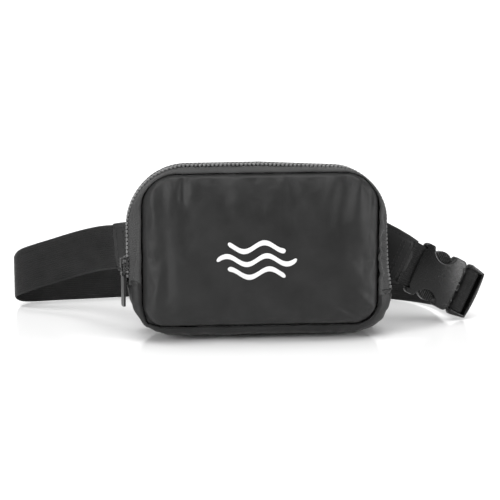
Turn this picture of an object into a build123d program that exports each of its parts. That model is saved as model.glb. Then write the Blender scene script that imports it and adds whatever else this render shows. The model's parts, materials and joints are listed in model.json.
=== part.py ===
"""A belt bag: a stuffed zip pouch with two wings, a webbing belt and a side-release buckle.

Frame: millimetres, +Z up, +X to the wearer's left as seen from the front, the front faces -Y.
The origin is on the floor, under the middle of the pouch's bottom gusset.
"""
import os
from math import cos, radians, sin, tan

from build123d import *

os.makedirs("parts", exist_ok=True)

# ---------------------------------------------------------------- pouch
seam_half_width = 86.0   # half the width of the front panel, seam to seam
seam_bottom = 12.0       # height of the front panel's bottom seam
seam_top = 125.0         # height of its top seam
seam_top_radius = 24.0
seam_bottom_radius = 17.0
front_y = -26.0          # plane of the front seam
back_y = 24.0            # plane of the rear seam
bulge_side = 11.4        # how far the gusset stands outside the seam, at the sides
growth_top = 21.0        # how much a corner's radius grows at the full bulge
growth_bottom = 16.0
cloth = 1.4              # shell cloth and its backing
lining_cloth = 0.7
front_crown = 8.2        # how far the stuffed front panel swells
least_radius = 8.0       # of an outline moved in from the seam
# depth behind the front seam, and how far the gusset stands outside it at the sides, top and bottom
gusset_profile = [
    (0, 0.0, 0.0, 0.0), (3, 6.0, 1.9, 4.8), (6, 9.6, 3.4, 7.0),
    (11, bulge_side, 6.0, 8.9), (16, 11.0, 5.2, 10.2), (24, 8.7, 3.6, 12.0),
    (40, 8.7, 0.6, 12.0), (46, 6.0, -0.9, 9.6), (50, 3.7, -2.0, 6.0),
]

# ---------------------------------------------------------------- zip
chain_y = -17.5          # the line between the two rows of teeth
row_width = 2.2
row_gap = 1.3            # the slider's post runs between the rows
tape_width = 5.6         # rear tape, from its teeth to the rear gusset band
zip_end_left = 45.0      # height of the cross seam at each side
zip_end_right = 35.0
fold_y = -24.0           # the line about which the opened front folds forward
fold_z = 62.0
fold_angle = 31.0        # a little over the joint's range, so that the fold never closes

# ---------------------------------------------------------------- slider and puller
slider_z = 54.5          # lower end of the slider, at rest
slider_length = 9.6
slider_width = 7.6
wire = 1.3               # pull ring wire
tab_width = 6.4
tab_length = 26.0

# ---------------------------------------------------------------- webbing, wings and buckle
web_width = 34.0
web = 1.5
wing_root_width = 44.0
wing_end_width = 36.0
wing_cloth = 3.0
buckle_start = Vector(121.0, 20.6, 45.1)
buckle_axis = Vector(0.839, 0.268, -0.473).normalized()
buckle_up = Vector(0.447, 0.155, 0.881)
buckle_normal = buckle_axis.cross(buckle_up).normalized()
buckle = Plane(origin=buckle_start, x_dir=buckle_axis, z_dir=buckle_normal)
buckle_side = Plane(origin=buckle_start, x_dir=buckle_axis, z_dir=-buckle.y_dir)
buckle_width = 41.0
female_length = 42.0
male_end = 58.0
bar_x = 50.2             # the male part's webbing bar, along the buckle
belt_back = 8.0          # how far behind the buckle's middle the belt leaves the bar


def seam_outline(y, bulge, inset=0.0):
    """The pouch's outline in the plane at y, for a bulge at the sides, top and bottom."""
    side, top, bottom = bulge
    half = seam_half_width + side - inset
    low = seam_bottom - bottom + inset
    high = seam_top + top - inset
    growth = side / bulge_side
    with BuildSketch(Plane.XZ.offset(-y)) as face:
        with Locations((0, (low + high) / 2)):
            Rectangle(2 * half, high - low)
        for end, radius in (
            (0, seam_bottom_radius + growth_bottom * growth),
            (-1, seam_top_radius + growth_top * growth),
        ):
            corners = face.vertices().group_by(Axis.Y)[end]
            fillet(corners, max(least_radius, radius - inset))
    return face.sketch


def bulge_at(y):
    """The gusset's bulge at a depth, straight between the profile's points."""
    depth = y - front_y
    for (d0, *near), (d1, *far) in zip(gusset_profile, gusset_profile[1:]):
        if d0 <= depth <= d1:
            part = (depth - d0) / (d1 - d0)
            return [a + (b - a) * part for a, b in zip(near, far)]
    raise ValueError(depth)


def drum_faces(y0, y1, inset):
    """Outlines a stated distance within the gusset's outer surface, from y0 to y1."""
    knots = [front_y + d for d, *_ in gusset_profile if y0 < front_y + d < y1]
    return [seam_outline(y, bulge_at(y), inset) for y in (y0, *knots, y1)]


def crown_faces(inset):
    """Outlines of the stuffed front panel's surface, moved in by inset."""
    steps = [(0.0, 0.0), (0.5, 4.5), (0.86, 15.0), (1.0, 32.0)]
    no_bulge = (0, 0, 0)
    return [
        seam_outline(front_y - rise * (front_crown - inset), no_bulge, step_in + inset)
        for rise, step_in in steps
    ]


def shell(outer_faces, inner_faces, cuts):
    """The cloth between two lofts, cut by (solid, mode) pairs."""
    with BuildPart() as skin:
        loft(outer_faces, ruled=True)
        loft(inner_faces, ruled=True, mode=Mode.SUBTRACT)
        for solid, mode in cuts:
            add(solid, mode=mode)
    return skin.part


def band(y0, y1, cuts, outer=0.0, inner=cloth):
    """A band of cloth round the pouch between two depths."""
    return shell(drum_faces(y0, y1, outer), drum_faces(y0, y1, inner), cuts)


def zone_below(left, right):
    """Everything under the line through two heights at the pouch's sides."""
    reach, deep = 150.0, 60.0
    with BuildPart() as zone:
        with BuildSketch(Plane.XZ.offset(deep)):
            with BuildLine():
                Polyline((-reach, -reach), (reach, -reach), (reach, right), (-reach, left), close=True)
            make_face()
        extrude(amount=-2 * deep)
    return zone.part


def fold_notch():
    """The wedge that the front's upper part leaves free, so that it can fold forward."""
    reach, depth = 120.0, 20.0
    with BuildPart() as notch:
        with BuildSketch(Plane.YZ.offset(-reach)):
            with BuildLine():
                Polyline(
                    (fold_y, fold_z - 1), (fold_y, fold_z),
                    (fold_y - depth, fold_z + depth * tan(radians(fold_angle))),
                    (fold_y - depth, fold_z - 1), close=True,
                )
            make_face()
        extrude(amount=2 * reach)
    return notch.part


def keep(part, name):
    """Labels a finished piece and writes it."""
    part.label = name
    export_step(part, f"parts/{name}.step")


stop_height = 2.0
under_zip = zone_below(zip_end_left, zip_end_right)
under_teeth = zone_below(zip_end_left + stop_height, zip_end_right + stop_height)
under_fold = zone_below(fold_z, fold_z)
fold_wedge = fold_notch()
below_fold = [(under_fold, Mode.INTERSECT)]
above_fold = [(under_fold, Mode.SUBTRACT), (fold_wedge, Mode.SUBTRACT)]

# ---------------------------------------------------------------- front of the pouch
# The front is one cloth on the real bag; here it is divided at the fold line.
front_row_edge = chain_y - row_gap / 2 - row_width
rear_row_edge = chain_y + row_gap / 2 + row_width
rear_tape_edge = rear_row_edge + tape_width
tooth_rise = 0.5

for place, cuts in (("lower", below_fold), ("upper", above_fold)):
    keep(shell(crown_faces(0.0), crown_faces(cloth), cuts), f"front_panel_{place}")
    keep(shell(crown_faces(cloth), crown_faces(cloth + lining_cloth), cuts), f"front_lining_{place}")
    tape_cuts = [(under_zip, Mode.SUBTRACT), *cuts]
    keep(band(front_y, front_row_edge, tape_cuts), f"front_tape_{place}")
    row_cuts = [(under_teeth, Mode.SUBTRACT), *cuts]
    keep(band(front_row_edge, chain_y - row_gap / 2, row_cuts, -tooth_rise), f"front_teeth_{place}")

# ---------------------------------------------------------------- rest of the pouch
above_zip = [(under_zip, Mode.SUBTRACT)]
keep(band(chain_y + row_gap / 2, rear_row_edge, [(under_teeth, Mode.SUBTRACT)], -tooth_rise), "rear_teeth")
keep(band(rear_row_edge, rear_tape_edge, above_zip), "rear_tape")
keep(band(rear_tape_edge, back_y, above_zip), "top_gusset")
keep(band(front_y, back_y, [(under_zip, Mode.INTERSECT)]), "bottom_gusset")

# The stops close the chain at the cross seams.
stop_cuts = [(under_teeth, Mode.INTERSECT), (under_zip, Mode.SUBTRACT)]
keep(band(front_row_edge, rear_row_edge, stop_cuts, -0.9), "zip_stops")

back_pad = 2.6
rear_bulge = bulge_at(back_y)
back_faces = [seam_outline(back_y, rear_bulge), seam_outline(back_y + back_pad, rear_bulge, 6.0)]
with BuildPart() as back_panel:
    loft(back_faces, ruled=True)
keep(back_panel.part, "back_panel")

# The lining is a cup inside the gusset and the back panel.
lining_back = back_y - 1.6
lining_faces = drum_faces(rear_tape_edge, back_y, cloth)
lining_hollow = drum_faces(rear_tape_edge, lining_back, cloth + lining_cloth)
keep(shell(lining_faces, lining_hollow, []), "lining")

# A flat pocket stands off the lining's back by three sewn edges.
pocket_half = 55.0
pocket_low, pocket_high = 28.0, 92.0
pocket_depth = 5.0
pocket_back = lining_back
with BuildPart() as inner_pocket:
    with BuildSketch(Plane.XZ.offset(-pocket_back)):
        with Locations((0, (pocket_low + pocket_high) / 2)):
            Rectangle(2 * pocket_half, pocket_high - pocket_low)
    extrude(amount=pocket_depth + 0.9)
    with BuildSketch(Plane.XZ.offset(-pocket_back)):
        with Locations((0, (pocket_low + pocket_high) / 2 + 1.0)):
            Rectangle(2 * pocket_half - 2.0, pocket_high - pocket_low)
    extrude(amount=pocket_depth, mode=Mode.SUBTRACT)
keep(inner_pocket.part, "inner_pocket")

# ---------------------------------------------------------------- slider, on the left side's teeth
# Its own plane lies on the chain: x up along the teeth, y to the rear, z outward.
chain_x = seam_half_width + bulge_at(chain_y)[0]
chain_tilt = 16.0        # of the side's surface at the chain, from square to X
slider_out = Vector(-cos(radians(chain_tilt)), -sin(radians(chain_tilt)), 0)
slider_origin = Vector(-chain_x, chain_y, slider_z)
slider = Plane(origin=slider_origin, x_dir=(0, 0, 1), z_dir=slider_out)
plate = 1.4
plate_clear = 0.5
outer_low = tooth_rise + plate_clear               # underside of the outer plate
inner_high = -cloth - plate_clear                  # upper side of the inner plate
slider_mid = slider_length / 2
bridge_rise = 3.2
bridge_wall = 1.1
bridge_width = 2.2
with BuildPart() as slider_body:
    with BuildSketch(slider.offset(outer_low)):
        with Locations((slider_mid, 0)):
            RectangleRounded(slider_length, slider_width, 2.4)
    extrude(amount=plate)
    with BuildSketch(slider.offset(inner_high - plate)):
        with Locations((slider_mid, 0)):
            RectangleRounded(slider_length - 1.0, slider_width - 1.0, 2.0)
    extrude(amount=plate)
    # post between the plates, at the end where the rows meet
    with BuildSketch(slider.offset(inner_high)):
        with Locations((slider_length - 2.6, 0)):
            Rectangle(2.4, row_gap - 0.7)
    extrude(amount=outer_low - inner_high)
    # bridge that the pull ring turns in
    for length, rise, mode in (
        (slider_length - 2.6, bridge_rise, Mode.ADD),
        (slider_length - 2.6 - 2 * bridge_wall, bridge_rise - bridge_wall, Mode.SUBTRACT),
    ):
        with BuildSketch(slider.offset(outer_low + plate)):
            with Locations((slider_mid, 0)):
                Rectangle(length, bridge_width)
        extrude(amount=rise, mode=mode)
keep(slider_body.part, "slider_body")

# The pull ring is a closed wire that hangs down; its upper bar turns in the bridge.
ring_out = outer_low + plate + (bridge_rise - bridge_wall) / 2
ring_top = slider_mid - 0.8
ring_height = 7.4
ring_half = 3.0
ring_plane = slider.offset(ring_out)
with BuildPart() as pull_ring:
    with BuildLine(ring_plane) as ring_path:
        FilletPolyline(
            (ring_top, -ring_half), (ring_top, ring_half),
            (ring_top - ring_height, ring_half), (ring_top - ring_height, -ring_half),
            radius=1.2, close=True,
        )
    with BuildSketch(Plane(origin=ring_path.line @ 0, z_dir=ring_path.line % 0)):
        Circle(wire / 2)
    sweep(path=ring_path.line)
keep(pull_ring.part, "pull_ring")

# The tab hangs from the ring's lower bar by a knuckle.
knuckle_radius = 1.75
knuckle_width = 3.8
knuckle_bore = wire / 2 + 0.35
ring_low = ring_top - ring_height
tab_thickness = 1.5
knuckle_plane = Plane(
    origin=ring_plane.from_local_coords(Vector(ring_low, 0, 0)), x_dir=(0, 0, 1), z_dir=slider.y_dir
)
tab_from = ring_plane.offset(-tab_thickness / 2)
with BuildPart() as pull_tab:
    with BuildSketch(knuckle_plane.offset(-knuckle_width / 2)):
        Circle(knuckle_radius)
    extrude(amount=knuckle_width)
    with BuildSketch(tab_from):
        with Locations((ring_low - 1.2 - (tab_length - 3.0) / 2, 0)):
            RectangleRounded(tab_length - 3.0, tab_width, 1.4)
    extrude(amount=tab_thickness)
    with BuildSketch(knuckle_plane.offset(-knuckle_width / 2)):
        Circle(knuckle_bore)
    extrude(amount=knuckle_width, mode=Mode.SUBTRACT)
keep(pull_tab.part, "pull_tab")

# ---------------------------------------------------------------- belt
# The middle of the webbing from the left wing, round behind the pouch, to the buckle's bar.
bar_back = buckle_start + buckle_axis * bar_x - buckle_normal * belt_back
left_wing_end = Vector(-103.6, 50.0, 57.7)
left_belt_start = Vector(-0.72, 0.68, -0.13)
belt_points = [
    left_wing_end, Vector(-121.8, 70.0, 51.8), Vector(-135.0, 80.0, 46.6), Vector(-150.5, 87.5, 40.6),
    Vector(-166.5, 95.0, 34.4), Vector(-178.0, 102.5, 28.6), Vector(-182.5, 111.0, 23.4),
    Vector(-177.0, 119.5, 18.8), Vector(-160.0, 125.0, 17.3), Vector(-130.0, 130.0, 17.2),
    Vector(-90.0, 136.0, 17.2), Vector(-30.0, 138.0, 17.2), Vector(40.0, 133.5, 17.2),
    Vector(90.0, 121.5, 17.2), Vector(118.0, 109.0, 17.2), Vector(138.0, 92.5, 17.8),
    Vector(150.0, 73.0, 19.2), bar_back - buckle_normal * 13.0, bar_back,
]
belt_sections = 60
twist_start = 0.80       # share of the belt's length where it starts to turn to the buckle's tilt


def ribbon_face(path, t, width, thickness, lean):
    """A webbing section square to the path, its width leaning from upright by a share of the buckle's."""
    along = path.tangent_at(t)
    upright = Vector(0, 0, 1) * (1 - lean) + buckle.y_dir * lean
    across = (upright - along * upright.dot(along)).normalized()
    with BuildSketch(Plane(origin=path.position_at(t), x_dir=across, z_dir=along)) as face:
        Rectangle(width, thickness)
    return face.sketch


with BuildLine() as belt_path:
    Spline(*belt_points, tangents=[left_belt_start, buckle_normal])
belt_line = belt_path.edge()

sections = []
for i in range(belt_sections + 1):
    t = i / belt_sections
    lean = max(0.0, (t - twist_start) / (1 - twist_start))
    sections.append(ribbon_face(belt_line, t, web_width, web, lean))
with BuildPart() as belt:
    loft(sections, ruled=True)
keep(belt.part, "belt")
print("belt length", round(belt_line.length, 1), "volume / (section * length)",
      round(belt.part.volume / (web_width * web * belt_line.length), 3))

# ---------------------------------------------------------------- wings
wing_gap = 0.3           # between a wing's root and the rear seam


def wing_faces(root, end, root_dir, end_dir, end_lean):
    """Sections of a tapered wing from the rear seam to its webbing."""
    with BuildLine() as path:
        Spline(root, end, tangents=[root_dir, end_dir])
    steps = 5
    faces = []
    for i in range(steps + 1):
        t = i / steps
        width = wing_root_width + (wing_end_width - wing_root_width) * t
        faces.append(ribbon_face(path.edge(), t, width, wing_cloth, end_lean * t))
    return faces


rear_half = seam_half_width + rear_bulge[0]
root_out = rear_half + wing_gap + wing_cloth / 2
root_height = 59.5
left_root = Vector(-root_out, back_y + 1.6, root_height)
right_root = Vector(root_out, back_y + 1.6, root_height)
right_wing_end = buckle_start + buckle_axis * -6.0

left_faces = wing_faces(left_root, left_wing_end, Vector(-0.2, 1, 0), left_belt_start, 0.0)
with BuildPart() as left_wing:
    loft(left_faces, ruled=True)
keep(left_wing.part, "left_wing")

right_faces = wing_faces(right_root, right_wing_end, Vector(1, 0, 0), buckle_axis, 1.0)
with BuildPart() as right_wing:
    loft(right_faces, ruled=True)
keep(right_wing.part, "right_wing")

# A short loop of webbing joins the right wing to the female part's bar.
with BuildPart() as wing_loop:
    with BuildSketch(buckle_side.offset(-web_width / 2)):
        with BuildLine():
            Polyline((-6, 1.5), (0.5, 2.3), (7, 2.3), (7, -4.6), (0.5, -4.6), (-6, -1.5), close=True)
        make_face()
        with BuildLine():
            Polyline((-5, 0), (0.5, 0.9), (5.6, 0.9), (5.6, -3.2), (0.5, -3.2), close=True)
        make_face(mode=Mode.SUBTRACT)
    extrude(amount=web_width)
keep(wing_loop.part, "wing_loop")

# ---------------------------------------------------------------- buckle, female part
female_half = 5.2
slot_half = web_width / 2 + 0.8
notch_x, notch_y, notch_radius = 18.5, 22.0, 9.0
with BuildPart() as buckle_female:
    with BuildSketch(buckle.offset(-female_half)):
        with Locations((female_length / 2, 0)):
            RectangleRounded(female_length, buckle_width, 3.0)
        with Locations((notch_x, notch_y), (notch_x, -notch_y)):
            Circle(notch_radius, mode=Mode.SUBTRACT)
    extrude(amount=2 * female_half)
    # socket for the male part
    with BuildSketch(buckle.offset(-3.0)):
        with Locations(((9.0 + female_length + 1) / 2, 0)):
            Rectangle(female_length + 1 - 9.0, 31.2)
    extrude(amount=6.0, mode=Mode.SUBTRACT)
    # webbing gap, open to the back, with its bar
    with BuildSketch(buckle.offset(-female_half - 0.1)):
        with Locations((3.6, 0)):
            Rectangle(9.2, 2 * slot_half)
    extrude(amount=female_half + 0.1 + 3.0, mode=Mode.SUBTRACT)
    with BuildSketch(buckle.offset(-2.6)):
        with Locations((3.6, 0)):
            Rectangle(2.8, 2 * slot_half + 1.0)
    extrude(amount=2.4)
keep(buckle_female.part, "buckle_female")

# ---------------------------------------------------------------- buckle, male part
male_start = female_length + 0.3
male_half = 4.0
frame_slots = ((45.3, 48.4), (52.0, 55.6))
with BuildPart() as buckle_male:
    with BuildSketch(buckle.offset(-male_half)):
        with Locations(((male_start + male_end) / 2, 0)):
            RectangleRounded(male_end - male_start, buckle_width, 2.0)
    extrude(amount=2 * male_half)
    for low, high in frame_slots:
        with BuildSketch(buckle.offset(-male_half - 0.1)):
            with Locations(((low + high) / 2, 0)):
                Rectangle(high - low, 2 * slot_half)
        extrude(amount=2 * male_half + 0.2, mode=Mode.SUBTRACT)
    # the bar between the slots is thinner than the frame
    for floor, height in ((0.2, male_half), (-male_half - 0.1, male_half - 2.2)):
        with BuildSketch(buckle.offset(floor)):
            with Locations((bar_x, 0)):
                Rectangle(5.0, 2 * slot_half)
        extrude(amount=height, mode=Mode.SUBTRACT)
    # guide tongue
    with BuildSketch(buckle.offset(-2.2)):
        with Locations(((16 + male_start) / 2, 0)):
            Rectangle(male_start - 16 + 0.4, 7.0)
    extrude(amount=4.4)
keep(buckle_male.part, "buckle_male")

# ---------------------------------------------------------------- release prongs
prong_end = female_length - 0.1
prong_y = 12.0


def prong(side):
    """One sprung arm with its pressing pad, on the side of +1 or -1."""
    with BuildPart() as arm:
        with BuildSketch(buckle.offset(-2.4)):
            with BuildLine():
                Polyline(
                    (prong_end, 10.2 * side), (prong_end, 13.8 * side), (27, 13.2 * side),
                    (24.2, 14.8 * side), (23.2, 17.4 * side), (18.5, 18.6 * side),
                    (13.8, 17.4 * side), (12.2, 13.8 * side), (12.2, 9.6 * side),
                    (26, 9.6 * side), close=True,
                )
            make_face()
        extrude(amount=4.8)
    return arm.part


keep(prong(1), "prong_upper")
keep(prong(-1), "prong_lower")

# ---------------------------------------------------------------- webbing over the male part's bar
leg_in, leg_out = 46.4, 54.0
with BuildPart() as bar_loop:
    with BuildSketch(buckle_side.offset(-web_width / 2)):
        with BuildLine():
            Polyline(
                (leg_in, 2.1), (leg_out, 2.1), (leg_out, -5.4), (bar_x + web / 2, -belt_back),
                (bar_x - web / 2, -belt_back), (leg_in, -5.4), close=True,
            )
        make_face()
        with BuildLine():
            Polyline(
                (leg_in + web, 2.1 - web), (leg_out - web, 2.1 - web), (leg_out - web, -4.7),
                (bar_x, -6.6), (leg_in + web, -4.7), close=True,
            )
        make_face(mode=Mode.SUBTRACT)
    extrude(amount=web_width)
keep(bar_loop.part, "bar_loop")

low_corner = buckle.from_local_coords(Vector(male_end, -buckle_width / 2, -male_half))
print("lowest buckle corner", tuple(round(v, 2) for v in low_corner))
print("hinges, upper and lower:", [
    tuple(round(v, 2) for v in buckle.from_local_coords(Vector(prong_end, s * prong_y, 0)))
    for s in (1, -1)
])
ring_axis = [ring_plane.from_local_coords(Vector(x, 0, 0)) for x in (ring_top, ring_low)]
print("ring bars", [tuple(round(v, 2) for v in p) for p in ring_axis], "along", tuple(slider.y_dir))
for built in (buckle_male, belt, bar_loop):
    print(built.part.label, "lowest", round(built.part.bounding_box().min.Z, 3))
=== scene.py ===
"""Looks of a belt bag: a stuffed nylon pouch, a webbing belt and a side-release buckle on a pale floor."""
import json
from math import cos, pi, radians, sin

import bpy
import numpy as np
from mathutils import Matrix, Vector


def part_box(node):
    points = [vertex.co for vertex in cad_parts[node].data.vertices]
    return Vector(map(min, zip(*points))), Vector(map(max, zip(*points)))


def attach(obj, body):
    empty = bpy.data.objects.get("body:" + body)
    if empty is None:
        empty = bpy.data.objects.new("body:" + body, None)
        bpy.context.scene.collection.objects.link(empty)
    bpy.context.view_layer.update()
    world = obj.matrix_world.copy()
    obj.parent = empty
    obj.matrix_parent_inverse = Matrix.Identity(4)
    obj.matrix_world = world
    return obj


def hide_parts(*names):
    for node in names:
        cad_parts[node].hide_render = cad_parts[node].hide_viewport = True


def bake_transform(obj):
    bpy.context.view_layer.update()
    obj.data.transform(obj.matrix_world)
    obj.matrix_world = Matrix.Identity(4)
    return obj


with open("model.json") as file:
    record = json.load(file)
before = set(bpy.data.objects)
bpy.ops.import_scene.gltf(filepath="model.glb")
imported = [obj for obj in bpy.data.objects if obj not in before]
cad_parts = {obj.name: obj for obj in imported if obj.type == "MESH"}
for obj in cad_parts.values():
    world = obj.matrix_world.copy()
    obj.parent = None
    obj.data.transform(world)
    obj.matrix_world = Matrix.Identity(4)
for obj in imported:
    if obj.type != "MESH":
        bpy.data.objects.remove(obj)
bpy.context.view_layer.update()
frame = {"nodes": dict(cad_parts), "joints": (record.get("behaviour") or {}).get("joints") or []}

import openvdb
from mathutils import Matrix, Vector, noise
from mathutils.bvhtree import BVHTree
from mathutils.kdtree import KDTree

MM = 0.001

# ---------------------------------------------------------------- the frame, in millimetres


def box_mm(node):
    """A CAD node's lowest and highest corner."""
    low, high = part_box(node)
    return np.array(low) / MM, np.array(high) / MM


joints = {j["name"]: j for j in frame["joints"]}
panel_low, panel_high = box_mm("front_panel_lower")
drum_high = box_mm("bottom_gusset")[1]
seam_half, seam_low, front_y = panel_high[0], panel_low[2], panel_high[1]
seam_high = box_mm("front_panel_upper")[1][2]
back_y = drum_high[1]
bulge_side = drum_high[0] - seam_half
low_radius, high_radius = 17.0, 24.0
low_growth, high_growth = 16.0, 21.0    # of the corners' radii at the full bulge

front_row_low, front_row_high = box_mm("front_teeth_upper")
rear_row_low, rear_row_high = box_mm("rear_teeth")
rear_tape_edge = box_mm("rear_tape")[1][1]
chain_y = (front_row_high[1] + rear_row_low[1]) / 2
zip_end_left, zip_end_right = 45.0, 35.0    # heights at which the zip ends
stop_height = 2.0


def fold_blend(obj):
    """Bakes the object's placement into its mesh."""
    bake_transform(obj)


# ---------------------------------------------------------------- outline of the pouch
least_radius = 6.0

# depth behind the front seam, and how far the gusset stands outside it at the sides, top and bottom
profile = np.array([
    (0, 0.0, 0.0, 0.0), (3, 6.0, 1.7, 4.8), (6, 9.6, 3.4, 7.0),
    (11, 11.5, 6.4, 8.9), (16, 11.2, 5.3, 10.2), (24, 8.7, 3.6, 12.0),
    (40, 8.7, 0.6, 12.0), (46, 6.0, -0.9, 9.6), (50, 3.7, -2.0, 6.0),
])
fine_depth = np.arange(-10, 61, 0.25)
smooth_reach = 10       # steps of depth on each side that the smoothing averages
smoothing = np.exp(-np.linspace(-3, 3, 2 * smooth_reach + 1) ** 2 / 2)
smoothing /= smoothing.sum()


def smoothed_bulge(sizes):
    rough = np.interp(fine_depth, profile[:, 0], sizes)
    return np.convolve(np.pad(rough, smooth_reach, "edge"), smoothing, "valid")


fine_bulge = [smoothed_bulge(profile[:, k]) for k in (1, 2, 3)]


def bulge_at(y):
    """The gusset's bulge at depths, at the sides, top and bottom."""
    return [np.interp(y - front_y, fine_depth, bulge) for bulge in fine_bulge]


def outline_sizes(y, out):
    """Half width, lowest and highest z, and the lower and upper corners' radii at depths."""
    side, top, bottom = bulge_at(y)
    growth = side / bulge_side
    half = seam_half + side + out
    low = seam_low - bottom - out
    high = seam_high + top + out
    r_low = np.maximum(least_radius, low_radius + low_growth * growth + out)
    r_high = np.maximum(least_radius, high_radius + high_growth * growth + out)
    return half, low, high, r_low, r_high


def piece_lengths():
    """Lengths of the outline's nine lines and arcs, from the middle of its bottom to the right."""
    half, low, high, r_low, r_high = outline_sizes(front_y + 8.0, 0.0)
    side = high - r_high - low - r_low
    corner_low, corner_high = pi / 2 * r_low, pi / 2 * r_high
    run = half - r_low
    top = 2 * (half - r_high)
    return np.array([run, corner_low, side, corner_high, top, corner_high, side, corner_low, run])


piece_ends = np.cumsum(piece_lengths())
perimeter = piece_ends[-1]
piece_starts = np.concatenate([[0.0], piece_ends[:-1]])


def outline(s, y, out=0.0):
    """x, z and the outward direction at s millimetres round the outline, from the middle of its bottom."""
    s, y, out = np.broadcast_arrays(np.asarray(s, float) % perimeter, np.asarray(y, float), out)
    half, low, high, r_low, r_high = outline_sizes(y, out)
    k = np.clip(np.searchsorted(piece_ends, s, side="right"), 0, 8)
    f = (s - piece_starts[k]) / (piece_ends - piece_starts)[k]
    wide_low, wide_high = half - r_low, half - r_high
    side_low, side_high = low + r_low, high - r_high
    side = side_low + f * (side_high - side_low)
    side_down = side_high - f * (side_high - side_low)
    cx = np.choose(k, [f * wide_low, wide_low, wide_low, wide_high, wide_high * (1 - 2 * f),
                       -wide_high, -wide_low, -wide_low, -wide_low * (1 - f)])
    cz = np.choose(k, [side_low, side_low, side, side_high, side_high,
                       side_high, side_down, side_low, side_low])
    radius = np.where((k >= 3) & (k <= 5), r_high, r_low)
    turn = np.choose(k, [0 * f, f, 1 + 0 * f, 1 + f, 2 + 0 * f, 2 + f, 3 + 0 * f, 3 + f, 4 + 0 * f])
    angle = (turn - 1) * pi / 2
    nx, nz = np.cos(angle), np.sin(angle)
    return cx + radius * nx, cz + radius * nz, nx, nz


# places round the outline, as a piece's number and a share of it, and the gusset's slump there
slump_table = np.array([
    (0, 0.0, 0.0), (0, 0.6, 0.0), (1, 0.15, 0.6), (1, 0.55, 2.2), (1, 0.9, 0.6), (2, 0.35, -2.6),
    (2, 0.9, -4.0), (3, 0.5, -3.2), (4, 0.05, -1.6), (4, 0.5, 0.3), (4, 1.0, 0.0), (5, 0.5, -0.4),
    (6, 0.0, 0.0), (6, 0.9, 0.0), (7, 0.2, -1.6), (7, 0.5, -3.0), (7, 0.85, -1.2), (8, 0.4, 0.0),
    (8, 1.0, 0.0),
])
slump_depths = [0, 3, 6, 9, 16, 30, 50]
slump_shares = [0, 0.25, 0.7, 1.2, 1.25, 0.9, 0]


def side_station(z, side, y):
    """Where the outline at a depth passes height z on the left (-1) or right (+1) side."""
    _, low, high, r_low, r_high = outline_sizes(y, 0.0)
    f = (z - low - r_low) / (high - r_high - low - r_low)
    if side > 0:
        return piece_starts[2] + f * (piece_ends - piece_starts)[2]
    return piece_ends[6] - f * (piece_ends - piece_starts)[6]


def bell(distance, width):
    """A smooth bump: 1 at distance 0, about a third at the width."""
    return np.exp(-(distance / width) ** 2)


def clamp(share):
    return np.clip(share, 0, 1)


def soft_noise(x, y=0.0, z=0.0):
    """Smooth noise from -1 to 1 at arrays of points."""
    x, y, z = np.broadcast_arrays(np.asarray(x, float), y, z)
    flat = [noise.noise(Vector(p)) for p in zip(x.ravel(), y.ravel(), z.ravel())]
    return np.array(flat).reshape(x.shape)


def seam_wave(s):
    """How far the hand-guided front seam strays from its line."""
    return 0.55 * soft_noise(s / 21.0, 3.1) + 0.25 * soft_noise(s / 8.0, 9.4)


station_table = np.linspace(0, perimeter, 1441)
wave_table = seam_wave(station_table)
closing = 40        # stations over which the wave is led back to its first value
wave_table[-closing:] += (wave_table[0] - wave_table[-1]) * np.linspace(0, 1, closing)
# the lower left corner is pulled out to a point, and the upper right one is worn round
for piece, size, reach in ((7, 2.4, 7.5), (3, -1.0, 15.0)):
    corner = (piece_starts[piece] + piece_ends[piece]) / 2
    wave_table += size * np.exp(-((station_table - corner) / reach) ** 2)


def wave_at(s):
    return np.interp(np.asarray(s) % perimeter, station_table, wave_table)


def slump_at(s, y):
    """How far the hand-packed gusset stands outside its even outline; nothing at its seams and its foot."""
    marks = slump_table[:, 0] + slump_table[:, 1]
    stations = np.interp(marks, np.arange(10), np.concatenate([[0.0], piece_ends]))
    around = np.interp(np.asarray(s, float) % perimeter, stations, slump_table[:, 2])
    depth = np.asarray(y, float) - front_y
    return around * np.interp(depth, slump_depths, slump_shares)


def drum(s, y, out=0.0):
    """Points on the pouch's side at stations s and depths y, moved out by a distance."""
    near_seam = clamp(1 - (np.asarray(y) - front_y) / 8)
    x, z, _, _ = outline(s, y, out + wave_at(s) * near_seam + slump_at(s, y))
    return np.stack(np.broadcast_arrays(x, y, z), -1)


# ---------------------------------------------------------------- mesh making


def make_mesh(name, points, faces, material, weave=None):
    """A smooth-shaded object from points in millimetres, with the weave's own coordinates if it is cloth."""
    mesh = bpy.data.meshes.new(name)
    mesh.from_pydata((np.asarray(points).reshape(-1, 3) * MM).tolist(), [], faces)
    mesh.polygons.foreach_set("use_smooth", [True] * len(mesh.polygons))
    mesh.materials.append(material)
    if weave is not None:
        data = mesh.attributes.new("weave", "FLOAT_VECTOR", "POINT")
        data.data.foreach_set("vector", np.asarray(weave, np.float32).reshape(-1, 3).ravel())
    obj = bpy.data.objects.new(name, mesh)
    bpy.context.scene.collection.objects.link(obj)
    return obj


def grid_faces(rows, columns, wrap_rows=False, wrap_columns=False):
    """Quads between neighbouring points of a grid."""
    index = np.arange(rows * columns).reshape(rows, columns)
    if wrap_rows:
        index = np.vstack([index, index[:1]])
    if wrap_columns:
        index = np.hstack([index, index[:, :1]])
    a, b, c, d = index[:-1, :-1], index[1:, :-1], index[1:, 1:], index[:-1, 1:]
    return np.stack([a, b, c, d], -1).reshape(-1, 4).tolist()


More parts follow.
